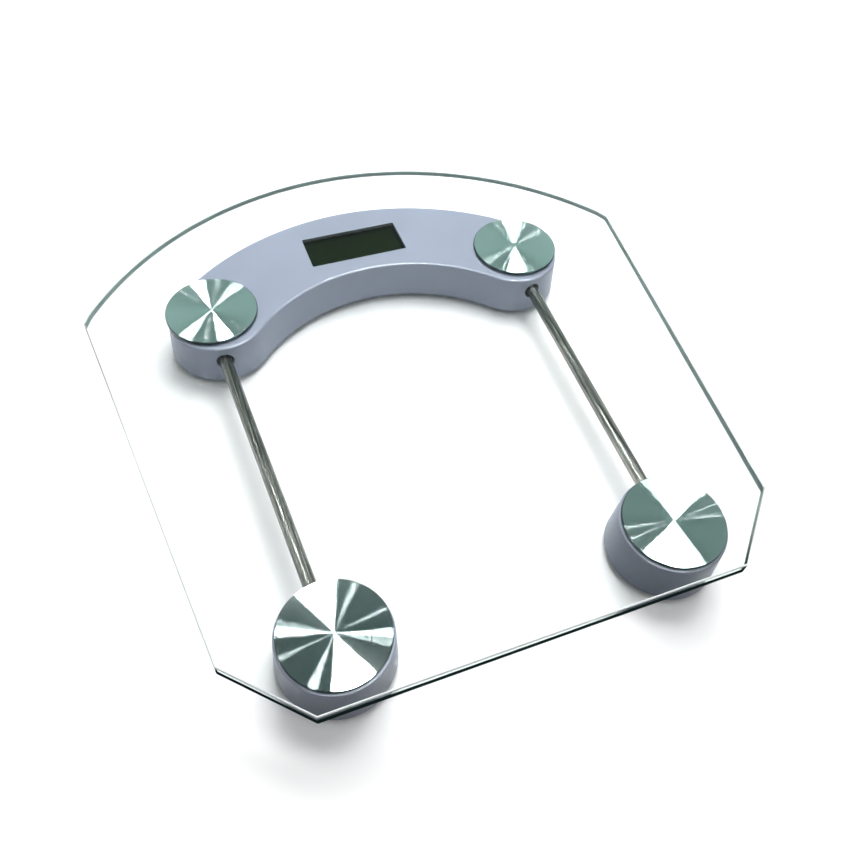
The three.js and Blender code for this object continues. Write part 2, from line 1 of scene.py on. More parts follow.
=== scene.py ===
"""Digital bathroom scale: a clear glass platform on four spun aluminium discs, a bow-shaped display
housing, two round foot housings and two steel tubes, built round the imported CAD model.

Metres, +Z up, +Y towards the display. Heights and places come from the CAD nodes' boxes; the
outlines repeat the CAD model's driving dimensions.
"""

import json
import math

import bmesh
import bpy
from mathutils import Matrix, Vector


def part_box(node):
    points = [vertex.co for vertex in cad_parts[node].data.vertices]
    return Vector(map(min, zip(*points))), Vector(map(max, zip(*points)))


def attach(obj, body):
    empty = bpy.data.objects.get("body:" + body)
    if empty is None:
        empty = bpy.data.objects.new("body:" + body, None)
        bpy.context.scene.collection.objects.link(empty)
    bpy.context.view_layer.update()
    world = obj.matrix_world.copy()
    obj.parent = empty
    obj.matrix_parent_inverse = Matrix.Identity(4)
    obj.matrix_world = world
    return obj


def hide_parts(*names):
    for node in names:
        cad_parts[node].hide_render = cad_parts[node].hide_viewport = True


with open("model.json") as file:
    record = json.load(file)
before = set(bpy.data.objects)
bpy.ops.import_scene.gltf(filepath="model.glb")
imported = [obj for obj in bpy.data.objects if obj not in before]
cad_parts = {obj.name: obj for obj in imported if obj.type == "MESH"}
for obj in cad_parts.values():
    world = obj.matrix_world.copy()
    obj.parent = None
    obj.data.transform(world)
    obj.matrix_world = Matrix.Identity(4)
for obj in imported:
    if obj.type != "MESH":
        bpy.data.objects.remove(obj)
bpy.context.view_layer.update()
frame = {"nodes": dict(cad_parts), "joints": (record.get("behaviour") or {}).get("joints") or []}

MM = 0.001
HANDS = {"left": -1, "right": 1}
ENDS = ("front", "rear")


def corners():
    return [f"{end}_{hand}" for hand in HANDS for end in ENDS]


# ---- Places taken from the frame ----------------------------------------------------------------


def low(node):
    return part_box(node)[0]


def high(node):
    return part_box(node)[1]


def middle(node):
    return (low(node) + high(node)) / 2


BASE_Z = low("display_housing").z
HOUSING_TOP = high("display_housing").z
DISC_TOP = high("mount_disc_front_left").z
GLASS_LOW = low("glass_platform").z
GLASS_TOP = high("glass_platform").z

# ---- Driving dimensions -------------------------------------------------------------------------

GAP = 0.3 * MM
PLAY = 0.4 * MM
WALL = 2.2 * MM
DRAFT = 0.068  # how far a housing's wall leans out for each unit down
COVER_T = 2 * MM
COVER_TOP = BASE_Z + COVER_T
ROOF = HOUSING_TOP - WALL
BOW_CENTRE = Vector((0, -20 * MM))
BOW_RADIUS = 131 * MM
BOW_HALF = 27.7 * MM
BOW_END = math.radians(45.7)
FRONT_RADIUS = 27 * MM
DISC_R = 26 * MM
DISC_T = 2 * MM
DISC_BOSS_R = 5 * MM
BOSS_R = 3.5 * MM

# Glass outline: front and rear lines come from the node's box.
GLASS_FRONT_HALF = 104 * MM
GLASS_CHAMFER = Vector((138 * MM, -136 * MM))
GLASS_SIDE_Y = 79 * MM
GLASS_REAR = Vector((161.5 * MM, 86 * MM))

TUBE_R = 3.5 * MM
TUBE_BORE = 2.8 * MM
TUBE_Z = 18.5 * MM
TUBE_FRONT = Vector((88.9 * MM, -116 * MM, TUBE_Z))
TUBE_REAR = Vector((96.7 * MM, 52 * MM, TUBE_Z))

WINDOW = {"width": 60.5 * MM, "depth": 25.8 * MM, "y": 107.3 * MM}
BATTERY = {"x": -22 * MM, "y": 108 * MM, "width": 26 * MM, "depth": 25 * MM, "top": 10.8 * MM}
DOOR = {"width": 30 * MM, "depth": 28 * MM, "thickness": 1.7 * MM}
BUTTON_R = 4 * MM


# ---- Mesh tools ---------------------------------------------------------------------------------


def filleted(corners, steps=5, closed=False):
    """A polyline through corners given as (u, v) or (u, v, radius), with true arcs at the radii."""
    points = []
    count = len(corners)
    for i, corner in enumerate(corners):
        here = Vector(corner[:2])
        radius = corner[2] if len(corner) > 2 else 0
        at_end = not closed and i in (0, count - 1)
        if radius == 0 or at_end:
            points.append(here)
            continue
        before = (Vector(corners[i - 1][:2]) - here).normalized()
        after = (Vector(corners[(i + 1) % count][:2]) - here).normalized()
        half = before.angle(after) / 2
        start = here + before * (radius / math.tan(half))
        end = here + after * (radius / math.tan(half))
        centre = here + (before + after).normalized() * (radius / math.sin(half))
        turn = math.pi - 2 * half
        for k in range(steps + 1):
            share = k / steps
            early = math.sin((1 - share) * turn) * (start - centre)
            late = math.sin(share * turn) * (end - centre)
            points.append(centre + (early + late) / math.sin(turn))
    return points


def new_object(name, mesh):
    obj = bpy.data.objects.new(name, mesh)
    bpy.context.scene.collection.objects.link(obj)
    return obj


def from_bmesh(name, bm):
    bmesh.ops.remove_doubles(bm, verts=bm.verts, dist=1e-7)
    bmesh.ops.dissolve_degenerate(bm, edges=bm.edges, dist=1e-7)
    bmesh.ops.recalc_face_normals(bm, faces=bm.faces)
    mesh = bpy.data.meshes.new(name)
    bm.to_mesh(mesh)
    bm.free()
    return new_object(name, mesh)


def swept(name, outline, profile, closed=False):
    """A solid whose profile of (distance, height) points is carried round an outline.

    The outline is a loop of (base, direction) pairs in plan: a circle's pairs share one base, and a
    bow's bases lie on its spine. An open profile is capped at both ends.
    """
    bm = bmesh.new()
    rings = []
    for distance, height in profile:
        ring = []
        for base, direction in outline:
            spot = base + direction * distance
            ring.append(bm.verts.new((spot.x, spot.y, height)))
        rings.append(ring)
    if closed:
        rings.append(rings[0])
    count = len(outline)
    for under, over in zip(rings, rings[1:]):
        for i in range(count):
            j = (i + 1) % count
            bm.faces.new((under[i], under[j], over[j], over[i]))
    if not closed:
        for (distance, _), ring in ((profile[0], rings[0]), (profile[-1], rings[-1])):
            if distance > 0:
                bm.faces.new(ring)
    return from_bmesh(name, bm)


def circle(x, y, count):
    base = Vector((x, y))
    angles = (2 * math.pi * i / count for i in range(count))
    return [(base, Vector((math.cos(a), math.sin(a)))) for a in angles]


def turned(name, x, y, profile, segments=96, closed=False):
    return swept(name, circle(x, y, segments), profile, closed)


def bow(arc_steps=80, end_steps=36):
    """The bow's outline: its outer arc, left end, inner arc and right end."""
    right = math.pi / 2 - BOW_END
    left = math.pi / 2 + BOW_END

    def spine(angle):
        return BOW_CENTRE + BOW_RADIUS * Vector((math.cos(angle), math.sin(angle)))

    pairs = []
    for side, start, stop in ((1, right, left), (-1, left, right)):
        for i in range(arc_steps):
            angle = start + (stop - start) * i / arc_steps
            pairs.append((spine(angle), side * Vector((math.cos(angle), math.sin(angle)))))
        for i in range(end_steps):
            turn = stop + math.pi * i / end_steps + (0 if side > 0 else math.pi)
            pairs.append((spine(stop), Vector((math.cos(turn), math.sin(turn)))))
    return pairs


def rounded_rect(x, y, width, depth, radius, steps=6):
    w, d = width / 2, depth / 2
    places = [(x - w, y - d), (x + w, y - d), (x + w, y + d), (x - w, y + d)]
    return filleted([(*place, radius) for place in places], steps, closed=True)


def inset(outline, amount):
    """The outline, which runs anticlockwise, moved inwards by an amount."""
    moved = []
    count = len(outline)
    for i, here in enumerate(outline):
        ahead = (outline[(i + 1) % count] - here).normalized()
        behind = (here - outline[i - 1]).normalized()
        normal = Vector((ahead.y + behind.y, -ahead.x - behind.x)) / (1 + ahead.dot(behind))
        moved.append(here - normal * amount)
    return moved


def stacked(name, outline, levels):
    """A solid made of one outline at several levels, each an (inset, height), from the bottom up."""
    bm = bmesh.new()
    rings = []
    for amount, height in levels:
        rings.append([bm.verts.new((p.x, p.y, height)) for p in inset(outline, amount)])
    count = len(outline)
    for under, over in zip(rings, rings[1:]):
        for i in range(count):
            j = (i + 1) % count
            bm.faces.new((under[i], under[j], over[j], over[i]))
    bm.faces.new(reversed(rings[0]))
    bm.faces.new(rings[-1])
    return from_bmesh(name, bm)


def edged(z0, z1, radius, steps=4):
    """Levels for stacked(), with quarter-round edges at the bottom and the top."""
    levels = []
    for i in range(steps + 1):
        a = math.pi / 2 * i / steps
        levels.append((radius * (1 - math.sin(a)), z0 + radius * (1 - math.cos(a))))
    for i in range(steps + 1):
        a = math.pi / 2 * (1 - i / steps)
        levels.append((radius * (1 - math.sin(a)), z1 - radius * (1 - math.cos(a))))
    return levels


def rod(x, y, radius, z0, z1, segments=48):
    return turned("cutter", x, y, [(0, z0), (radius, z0), (radius, z1), (0, z1)], segments)


def box(x, y, width, depth, z0, z1, radius=0.5 * MM):
    return stacked("cutter", rounded_rect(x, y, width, depth, radius, 3), [(0, z0), (0, z1)])


def bake_modifiers(obj):
    """Replaces an object's mesh by what its modifiers make of it."""
    bpy.context.view_layer.update()
    evaluated = obj.evaluated_get(bpy.context.evaluated_depsgraph_get())
    mesh = bpy.data.meshes.new_from_object(evaluated)
    obj.modifiers.clear()
    old = obj.data
    obj.data = mesh
    bpy.data.meshes.remove(old)


def combined(obj, tools, operation):
    """Cuts the tools from an object, or joins them to it. The tools don't touch each other."""
    bm = bmesh.new()
    for tool in tools:
        bm.from_mesh(tool.data)
        bpy.data.objects.remove(tool)
    mesh = bpy.data.meshes.new("tool")
    bm.to_mesh(mesh)
    bm.free()
    tool = new_object("tool", mesh)
    modifier = obj.modifiers.new("boolean", "BOOLEAN")
    modifier.operation = operation
    modifier.solver = "EXACT"
    modifier.object = tool
    bake_modifiers(obj)
    bpy.data.objects.remove(tool)


def cut(obj, tools):
    combined(obj, tools, "DIFFERENCE")


def fuse(obj, tools):
    combined(obj, tools, "UNION")


def smooth(obj):
    """Smooth shading with creases, weighted so that flat faces stay flat."""
    crease = math.radians(32)
    for polygon in obj.data.polygons:
        polygon.use_smooth = True
    obj.data.set_sharp_from_angle(angle=crease)
    modifier = obj.modifiers.new("weighted", "WEIGHTED_NORMAL")
    modifier.keep_sharp = True
    bake_modifiers(obj)
    mesh = obj.data
    normals = [corner.vector.copy() for corner in mesh.corner_normals]
    for polygon in mesh.polygons:
        if abs(polygon.normal.z) > 0.9999:
            for corner in polygon.loop_indices:
                normals[corner] = polygon.normal.copy()
    mesh.normals_split_custom_set(normals)


def placed(obj, matrix):
    obj.data.transform(matrix)
    return obj


def add_piece(obj, nodes, material, body="scale_body"):
    """Finishes a piece: its shading, its finish, its body and the CAD nodes that it stands for."""
    smooth(obj)
    obj.data.materials.clear()
    obj.data.materials.append(material)
    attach(obj, body)
    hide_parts(*nodes)


# ---- Material tools -----------------------------------------------------------------------------


class Finish:
    """A material under construction round one main shader."""

    def __init__(self, name, shader="ShaderNodeBsdfPrincipled", **constants):
        self.material = bpy.data.materials.new(name)
        self.material.use_nodes = True
        self.tree = self.material.node_tree
        self.tree.nodes.clear()
        self.output = self.tree.nodes.new("ShaderNodeOutputMaterial")
        self.shader = self.tree.nodes.new(shader)
        self.set(self.shader, constants)
        self.link(self.shader.outputs[0], self.output.inputs["Surface"])
        self.place = self.node("ShaderNodeTexCoord").outputs["Object"]

    def set(self, node, values):
        for key, value in values.items():
            node.inputs[key].default_value = value

    def link(self, source, target):
        self.tree.links.new(source, target)

    def node(self, kind, links=None, values=None, **settings):
        node = self.tree.nodes.new(kind)
        for key, value in settings.items():
            setattr(node, key, value)
        self.set(node, values or {})
        for key, source in (links or {}).items():
            self.link(source, node.inputs[key])
        return node

    def mapped(self, scale=(1, 1, 1), rotation=(0, 0, 0), location=(0, 0, 0)):
        values = {"Scale": scale, "Rotation": rotation, "Location": location}
        return self.node("ShaderNodeMapping", {"Vector": self.place}, values).outputs[0]

    def noise(self, scale, detail=4, roughness=0.55, vector=None):
        values = {"Scale": scale, "Detail": detail, "Roughness": roughness}
        links = {"Vector": vector or self.place}
        return self.node("ShaderNodeTexNoise", links, values).outputs["Fac"]

    def ranged(self, source, low_value, high_value, start=0.3, stop=0.7):
        values = {"From Min": start, "From Max": stop, "To Min": low_value, "To Max": high_value}
        return self.node("ShaderNodeMapRange", {"Value": source}, values).outputs[0]

    def colours(self, source, first, second, start=0.3, stop=0.7):
        ramp = self.node("ShaderNodeValToRGB", {"Fac": source})
        ramp.color_ramp.elements[0].position = start
        ramp.color_ramp.elements[0].color = (*first, 1)
        ramp.color_ramp.elements[1].position = stop
        ramp.color_ramp.elements[1].color = (*second, 1)
        return ramp.outputs[0]

    def maths(self, operation, first, second):
        """A Math node between two sources, the second of which may be a plain number."""
        node = self.node("ShaderNodeMath", operation=operation)
        self.link(first, node.inputs[0])
        if isinstance(second, (int, float)):
            node.inputs[1].default_value = second
        else:
            self.link(second, node.inputs[1])
        return node.outputs[0]

    def feed(self, **sources):
        """Links sources to the main shader; underscores in a name stand for spaces."""
        for key, source in sources.items():
            self.link(source, self.shader.inputs[key.replace("_", " ")])

    def bump(self, height, strength, distance):
        values = {"Strength": strength, "Distance": distance}
        return self.node("ShaderNodeBump", {"Height": height}, values).outputs[0]

    def blend(self, share, first, second):
        """Makes the surface a mix of two shaders, by a source or a plain number."""
        mix = self.node("ShaderNodeMixShader")
        if isinstance(share, float):
            mix.inputs["Fac"].default_value = share
        else:
            self.link(share, mix.inputs["Fac"])
        self.link(first.outputs[0], mix.inputs[1])
        self.link(second.outputs[0], mix.inputs[2])
        self.link(mix.outputs[0], self.output.inputs["Surface"])
        return mix


def shade(colour, factor):
    return tuple(min(1, channel * factor) for channel in colour)


def moulded(name, colour, roughness, grain=1900, specular=0.4, strength=0.35):
    """Moulded plastic or rubber: spark-eroded grain, slow colour drift and rubbed patches."""
    f = Finish(name, **{"Roughness": roughness, "Specular IOR Level": specular})
    drift = f.noise(22, 3)
    rub = f.noise(140, 5, 0.65)
    speck = f.noise(grain, 3, 0.6)
    f.feed(Base_Color=f.colours(drift, shade(colour, 0.96), shade(colour, 1.04)))
    f.feed(Roughness=f.ranged(rub, roughness - 0.05, roughness + 0.06))
    f.feed(Normal=f.bump(speck, strength, 0.05 * MM))
    return f.material


def see_through(f, tint):
    """Lets lamps and bounced light through a clear shader, so that what is behind it stays lit."""
    path = f.node("ShaderNodeLightPath")
    passing = f.maths("MAXIMUM", path.outputs["Is Shadow Ray"], path.outputs["Is Diffuse Ray"])
    clear = f.node("ShaderNodeBsdfTransparent", values={"Color": (*tint, 1)})
    f.blend(passing, f.shader, clear)


def clear_material(name, ior, tint, **more):
    constants = {"IOR": ior, "Transmission Weight": 1.0, "Base Color": (*tint, 1)}
    return Finish(name, **constants, **more)


def platform_glass():
    """Sheet glass whose faces show no glare when looked at square on, and mirror at a slant."""
    no_glare = {"Specular Tint": (0.01, 0.01, 0.01, 1)}
    f = clear_material("tempered_glass", 1.43, (0.965, 0.985, 0.98), **no_glare)
    smear = f.noise(14, 4, 0.6)
    f.feed(Roughness=f.ranged(smear, 0.0, 0.012, 0.45, 0.75))
    see_through(f, (0.975, 0.98, 0.98))
    return f.material


def seam_painted_light(f, dark, pale):
    """Painted light and shade: one tone along the front and front left edges, another along the
    others, which face the light.
    """
    place = f.node("ShaderNodeSeparateXYZ", {"Vector": f.place})
    lean = f.maths("ADD", place.outputs["Y"], f.maths("MULTIPLY", place.outputs["X"], 0.6))
    dark_up_to, pale_from = -105 * MM, -60 * MM
    return f.colours(f.ranged(lean, 0.0, 1.0, dark_up_to, pale_from), dark, pale, 0.0, 1.0)


def ground_seam(name, dark, pale):
    """A narrow edge of the glass that was ground and left satin; its colour, set by side, is painted
    light and shade.
    """
    f = Finish(name, **{"Roughness": 0.45, "Specular IOR Level": 0.1})
    f.feed(Base_Color=seam_painted_light(f, dark, pale))
    f.feed(Normal=f.bump(f.noise(900, 3, 0.6), 0.2, 0.03 * MM))
    return f.material


def polished_edge():
    """The glass sheet's upright edge: clear above, and opaque at its foot, where a band is painted
    dark as painted shade, darkest along the front.
    """
    f = Finish("polished_edge", **{"Roughness": 0.5, "Specular IOR Level": 0.0})
    f.feed(Base_Color=seam_painted_light(f, (0.014, 0.032, 0.030), (0.30, 0.38, 0.36)))
    height = f.node("ShaderNodeSeparateXYZ", {"Vector": f.place}).outputs["Z"]
    ripple = f.maths("MULTIPLY", f.noise(1.0, 2, 0.5, f.mapped((45, 45, 1))), 0.8 * MM)
    level = f.maths("SUBTRACT", height, ripple)
    # Below seam_top the edge is opaque and painted dark: painted shade.
    seam_top = GLASS_LOW + 4.4 * MM
    share = f.ranged(level, 0.0, 1.0, seam_top, seam_top + 0.5 * MM)
    clear = f.node("ShaderNodeBsdfTransparent", values={"Color": (0.80, 0.88, 0.86, 1)})
    f.blend(share, f.shader, clear)
    return f.material


def clear_plastic():
    f = clear_material("window_acrylic", 1.12, (0.97, 0.98, 0.97))
    haze = f.noise(400, 4, 0.6)
    f.feed(Roughness=f.ranged(haze, 0.0, 0.02))
    see_through(f, (0.95, 0.96, 0.95))
    return f.material


def spun_aluminium():
    """Face-turned aluminium: the grooves run round the disc, so each lamp draws a radial wedge."""
    f = Finish("spun_aluminium", "ShaderNodeBsdfAnisotropic", Roughness=0.186, Anisotropy=0.83)
    wide = f.node("ShaderNodeBsdfAnisotropic", values={"Roughness": 0.278, "Anisotropy": 0.92})
    tangent = f.node("ShaderNodeTangent", direction_type="RADIAL", axis="Z")
    tone = f.colours(f.noise(60, 3), (0.74, 0.86, 0.86), (0.80, 0.91, 0.91))
    for lobe in (f.shader, wide):
        lobe.distribution = "BECKMANN"
        f.link(tangent.outputs[0], lobe.inputs["Tangent"])
        f.link(tone, lobe.inputs["Color"])
    f.blend(0.2, f.shader, wide)
    return f.material


def turned_edge():
    f = Finish("turned_edge", Metallic=1.0, Roughness=0.25)
    lines = f.noise(1.0, 2, 0.5, f.mapped((30, 30, 9000)))
    # Near-black base colour: painted shade along the disc's rim, chamfer and underside.
    f.feed(Base_Color=f.colours(lines, (0.035, 0.052, 0.055), (0.06, 0.08, 0.085)))
    return f.material


def brushed_tube(hand):
    """Stainless steel brushed along the tube."""
    f = Finish("brushed_steel_" + hand, Metallic=1.0, Roughness=0.24)
    run = TUBE_REAR - TUBE_FRONT
    lean = HANDS[hand] * math.atan2(run.x, run.y)
    streaks = f.noise(1.0, 4, 0.6, f.mapped((2600, 9, 2600), (0, 0, lean)))
    bands = f.noise(1.0, 2, 0.5, f.mapped((700, 3, 700), (0, 0, lean)))
    f.feed(Base_Color=f.colours(bands, (0.05, 0.05, 0.047), (0.30, 0.30, 0.28)))
    f.feed(Roughness=f.ranged(streaks, 0.16, 0.34))
    f.feed(Normal=f.bump(streaks, 0.35, 0.03 * MM))
    return f.material


def plated(name, colour, roughness):
    """Plated or rolled steel: a slight mottle and hairline scratches."""
    f = Finish(name, Metallic=1.0, Roughness=roughness)
    mottle = f.noise(300, 4, 0.6)
    lines = f.noise(1.0, 3, 0.6, f.mapped((4000, 60, 60), (0, 0, 0.6)))
    f.feed(Base_Color=f.colours(mottle, shade(colour, 0.85), colour))
    f.feed(Roughness=f.ranged(lines, roughness - 0.08, roughness + 0.1))
    f.feed(Normal=f.bump(lines, 0.15, 0.02 * MM))
    return f.material


def display_panel():
    """The reflective display's face: olive polariser with a faint fibre, inside a black border."""
    f = Finish("display_panel", **{"Roughness": 0.35, "Specular IOR Level": 0.0})
    fibre = f.noise(1.0, 3, 0.6, f.mapped((2500, 300, 300)))
    olive = f.colours(f.noise(45, 2), (0.004, 0.0075, 0.001), (0.006, 0.0105, 0.0015))
    place = f.node("ShaderNodeSeparateXYZ", {"Vector": f.mapped(location=(0, -WINDOW["y"], 0))})
    border = 1.4 * MM
    beyond = []
    for axis, span in (("X", WINDOW["width"]), ("Y", WINDOW["depth"])):
        away = f.maths("ABSOLUTE", place.outputs[axis], 0)
        beyond.append(f.maths("GREATER_THAN", away, span / 2 - border))
    edge = f.maths("MAXIMUM", *beyond)
    tone = f.node("ShaderNodeMix", {"Factor": edge, "A": olive}, data_type="RGBA")
    tone.inputs["B"].default_value = (0.001, 0.001, 0.001, 1)
    f.feed(Base_Color=tone.outputs["Result"])
    f.feed(Roughness=f.ranged(fibre, 0.22, 0.36))
    return f.material


def board_laminate():
    """Green solder mask with copper runs showing through as slightly lighter lines."""
    f = Finish("board_laminate", **{"Roughness": 0.4, "Specular IOR Level": 0.5})
    values = {"Scale": 420.0, "Randomness": 0.0}
    cells = f.node("ShaderNodeTexVoronoi", {"Vector": f.place}, values, distance="CHEBYCHEV")
    mask, copper_run = (0.012, 0.10, 0.045), (0.02, 0.16, 0.075)
    f.feed(Base_Color=f.colours(cells.outputs["Distance"], mask, copper_run, 0.4, 0.45))
    f.feed(Normal=f.bump(cells.outputs["Distance"], 0.2, 0.03 * MM))
    return f.material


def floor_finish():
    """A pale matt floor that fades to white and sends little light back up at the walls above it."""
    f = Finish("studio_floor", **{"Roughness": 0.75, "Specular IOR Level": 0.15})
    f.feed(Base_Color=f.colours(f.noise(3, 2), (0.90, 0.905, 0.90), (0.92, 0.92, 0.92)))
    forth = f.node("ShaderNodeSeparateXYZ", {"Vector": f.place}).outputs["Y"]
    bounced = f.ranged(forth, 0.20, 0.92, -0.14, -0.02)
    dim = f.node("ShaderNodeBsdfDiffuse", {"Color": bounced})
    path = f.node("ShaderNodeLightPath")
    mix = f.blend(path.outputs["Is Diffuse Ray"], f.shader, dim)
    away = f.node("ShaderNodeVectorMath", operation="LENGTH")
    f.link(f.place, away.inputs[0])
    fade = f.ranged(away.outputs["Value"], 0.02, 1.1, 0.22, 1.2)
    seen = f.maths("MULTIPLY", fade, f.maths("LESS_THAN", path.outputs["Is Diffuse Ray"], 0.5))
    glow = f.node("ShaderNodeEmission", {"Strength": seen}, {"Color": (1, 1, 1, 1)})
    lit = f.node("ShaderNodeAddShader")
    f.link(mix.outputs[0], lit.inputs[0])
    f.link(glow.outputs[0], lit.inputs[1])
    f.link(lit.outputs[0], f.output.inputs["Surface"])
    return f.material


BLUE = (0.238, 0.266, 0.338)
GREY_BLUE = (0.25, 0.28, 0.345)

FINISHES = {
    "platform_glass": platform_glass(),
    # Painted shade: the lower arris is near-black along the front edges.
    "lower_seam": ground_seam("lower_seam", (0.010, 0.024, 0.023), (0.30, 0.38, 0.36)),
    # Painted highlight: the upper arris is near-white along the front edges.
    "upper_seam": ground_seam("upper_seam", (0.80, 0.84, 0.83), (0.42, 0.42, 0.41)),
    "polished_edge": polished_edge(),
    "spun_aluminium": spun_aluminium(),
    "turned_edge": turned_edge(),
    "tube_steel_left": brushed_tube("left"),
    "tube_steel_right": brushed_tube("right"),
    "plated_steel": plated("plated_steel", (0.62, 0.62, 0.60), 0.32),
    "cell_steel": plated("cell_steel", (0.72, 0.72, 0.71), 0.24),
    "housing_plastic": moulded("housing_plastic", BLUE, 0.36, specular=0.3),
    "cover_plastic": moulded("cover_plastic", GREY_BLUE, 0.5, grain=1300, specular=0.25),
    "foot_plastic": moulded("foot_plastic", (0.40, 0.43, 0.47), 0.3, grain=2500, strength=0.2),
    "pad_rubber": moulded("pad_rubber", (0.50, 0.53, 0.55), 0.6, grain=1500),
    "grommet_rubber": moulded("grommet_rubber", (0.012, 0.014, 0.016), 0.7),
    "button_rubber": moulded("button_rubber", (0.03, 0.033, 0.04), 0.6),
    "window_plastic": clear_plastic(),
    "lcd_glass": display_panel(),
    "board_laminate": board_laminate(),
    "black_resin": moulded("black_resin", (0.01, 0.01, 0.01), 0.4),
    "cable_sheath": moulded("cable_sheath", (0.03, 0.032, 0.035), 0.5),
}


# ---- Glass platform -----------------------------------------------------------------------------


def glass_outline():
    """Straight front, chamfered front corners, sides that widen rearwards and one rear arc."""
    corner_r = 1.2 * MM
    front, rear = low("glass_platform").y, high("glass_platform").y
    side = high("glass_platform").x
    rise = rear - GLASS_REAR.y
    radius = (GLASS_REAR.x**2 + rise**2) / (2 * rise)
    half = math.asin(GLASS_REAR.x / radius)
    steps = 160
    arc = []
    for i in range(steps + 1):
        angle = math.pi / 2 - half + 2 * half * i / steps
        arc.append((radius * math.cos(angle), rear - radius + radius * math.sin(angle)))
    right = [
        (GLASS_FRONT_HALF, front, corner_r),
        (GLASS_CHAMFER.x, GLASS_CHAMFER.y, corner_r),
        (side, GLASS_SIDE_Y, corner_r),
    ]
    left = [(-x, y, r) for x, y, r in reversed(right)]
    return filleted(right + arc + left, steps=4, closed=True)


def add_glass():
    """The sheet, with finishes of their own for its upright edge and for the two arrises beside it."""
    outline = glass_outline()
    arris = 0.8 * MM
    sheet = stacked("platform_glass_sheet", outline, edged(GLASS_LOW, GLASS_TOP, arris, 3))
    add_piece(sheet, ["glass_platform"], FINISHES["platform_glass"])
    for finish in ("lower_seam", "upper_seam", "polished_edge"):
        sheet.data.materials.append(FINISHES[finish])
    lower, upper, upright = 1, 2, 3
    steepest = math.sin(math.radians(80))
    for polygon in sheet.data.polygons:
        rise = polygon.normal.z
        if abs(rise) < 0.1:
            polygon.material_index = upright
        elif abs(rise) < steepest:
            polygon.material_index = lower if rise < 0 else upper


# ---- Housings -----------------------------------------------------------------------------------


CAP_INSET = 3 * MM  # how far a flat cap's outline lies inside the rounded edge around it


def wall_profile(half, edge):
    """A housing shell's section: from the roof's inside, down the wall, up it and over the top."""

    def outer(z):
        return half + DRAFT * (HOUSING_TOP - z)

    rim = 0.4 * MM
    corners = [
        (outer(ROOF) - WALL - CAP_INSET, ROOF),
        (outer(ROOF) - WALL, ROOF, 1.2 * MM),
        (outer(BASE_Z) - WALL, BASE_Z, rim),
        (outer(BASE_Z), BASE_Z, rim),
        (outer(HOUSING_TOP), HOUSING_TOP, edge),
        (outer(HOUSING_TOP) - CAP_INSET, HOUSING_TOP),
    ]
    return filleted(corners, steps=6)


def tube_turn(hand):
    """The matrix that lays a piece built along +Z on the tube's axis, from its front end."""
    side = HANDS[hand]
    start = Vector((side * TUBE_FRONT.x, TUBE_FRONT.y, TUBE_Z))
    end = Vector((side * TUBE_REAR.x, TUBE_REAR.y, TUBE_Z))
    along = (end - start).normalized()
    across = Vector((0, 0, 1)).cross(along)
    turn = Matrix((across, Vector((0, 0, 1)), along)).transposed().to_4x4()
    return Matrix.Translation(start) @ turn


TUBE_LENGTH = (TUBE_REAR - TUBE_FRONT).length
GROMMET_HOLE_R = 5 * MM


def tube_hole(hand, at_rear):
    reach = 8 * MM
    start = TUBE_LENGTH - 2 * reach if at_rear else 0
    return placed(rod(0, 0, GROMMET_HOLE_R, start, start + 2 * reach), tube_turn(hand))


def bosses(spots):
    return [rod(x, y, BOSS_R, COVER_TOP + GAP, ROOF + 0.1 * MM, 32) for x, y in spots]


def boss_holes(spots):
    return [rod(x, y, 1.6 * MM, COVER_TOP, 15 * MM, 24) for x, y in spots]


def bow_screws():
    return [middle(f"bow_cover_screw_{i}").xy for i in range(1, 7)]


def front_screws(hand):
    return [middle(f"front_cover_screw_{hand}_{i}").xy for i in (1, 2)]


def window_cutter():
    """The display opening, with softened walls that flare a little towards the top."""
    outline = rounded_rect(0, WINDOW["y"], WINDOW["width"], WINDOW["depth"], 0.8 * MM)
    flare = 0.25 * MM
    return stacked("cutter", outline, [
        (0, ROOF - 1 * MM),
        (0, HOUSING_TOP - flare),
        (-0.3 * flare, HOUSING_TOP - 0.3 * flare),
        (-flare, HOUSING_TOP),
        (-2 * flare, HOUSING_TOP + flare),
    ])


def add_display_housing():
    """The bow-shaped shell. The walls of its display opening take the black rubber finish as painted
    shade.
    """
    shell = swept("bow_housing", bow(), wall_profile(BOW_HALF, 1.6 * MM))
    fuse(shell, bosses(bow_screws()))
    tools = boss_holes(bow_screws()) + [window_cutter()]
    for hand in HANDS:
        disc = middle(f"mount_disc_rear_{hand}")
        tools.append(tube_hole(hand, True))
        tools.append(rod(disc.x, disc.y, DISC_BOSS_R + PLAY, ROOF - 1 * MM, HOUSING_TOP + 1 * MM))
    cut(shell, tools)
    add_piece(shell, ["display_housing"], FINISHES["housing_plastic"])
    shell.data.materials.append(FINISHES["grommet_rubber"])
    flare = 0.35 * MM
    # The display opening's walls are painted black: painted shade in the recess.
    for polygon in shell.data.polygons:
        spot = polygon.center
        in_window = abs(spot.x) < WINDOW["width"] / 2 + flare
        in_window &= abs(spot.y - WINDOW["y"]) < WINDOW["depth"] / 2 + flare
        off_level = abs(polygon.normal.z) < 0.9
        if in_window and off_level and spot.z > ROOF:
            polygon.material_index = 1


def add_front_housing(hand):
    foot = middle(f"foot_pad_front_{hand}")
    outline = circle(foot.x, foot.y, 144)
    shell = swept(f"front_housing_{hand}", outline, wall_profile(FRONT_RADIUS, 0.7 * MM))
    fuse(shell, bosses(front_screws(hand)))
    tools = boss_holes(front_screws(hand)) + [tube_hole(hand, False)]
    tools.append(rod(foot.x, foot.y, DISC_BOSS_R + PLAY, ROOF - 1 * MM, HOUSING_TOP + 1 * MM))
    cut(shell, tools)
    add_piece(shell, [f"front_foot_housing_{hand}"], FINISHES["housing_plastic"])


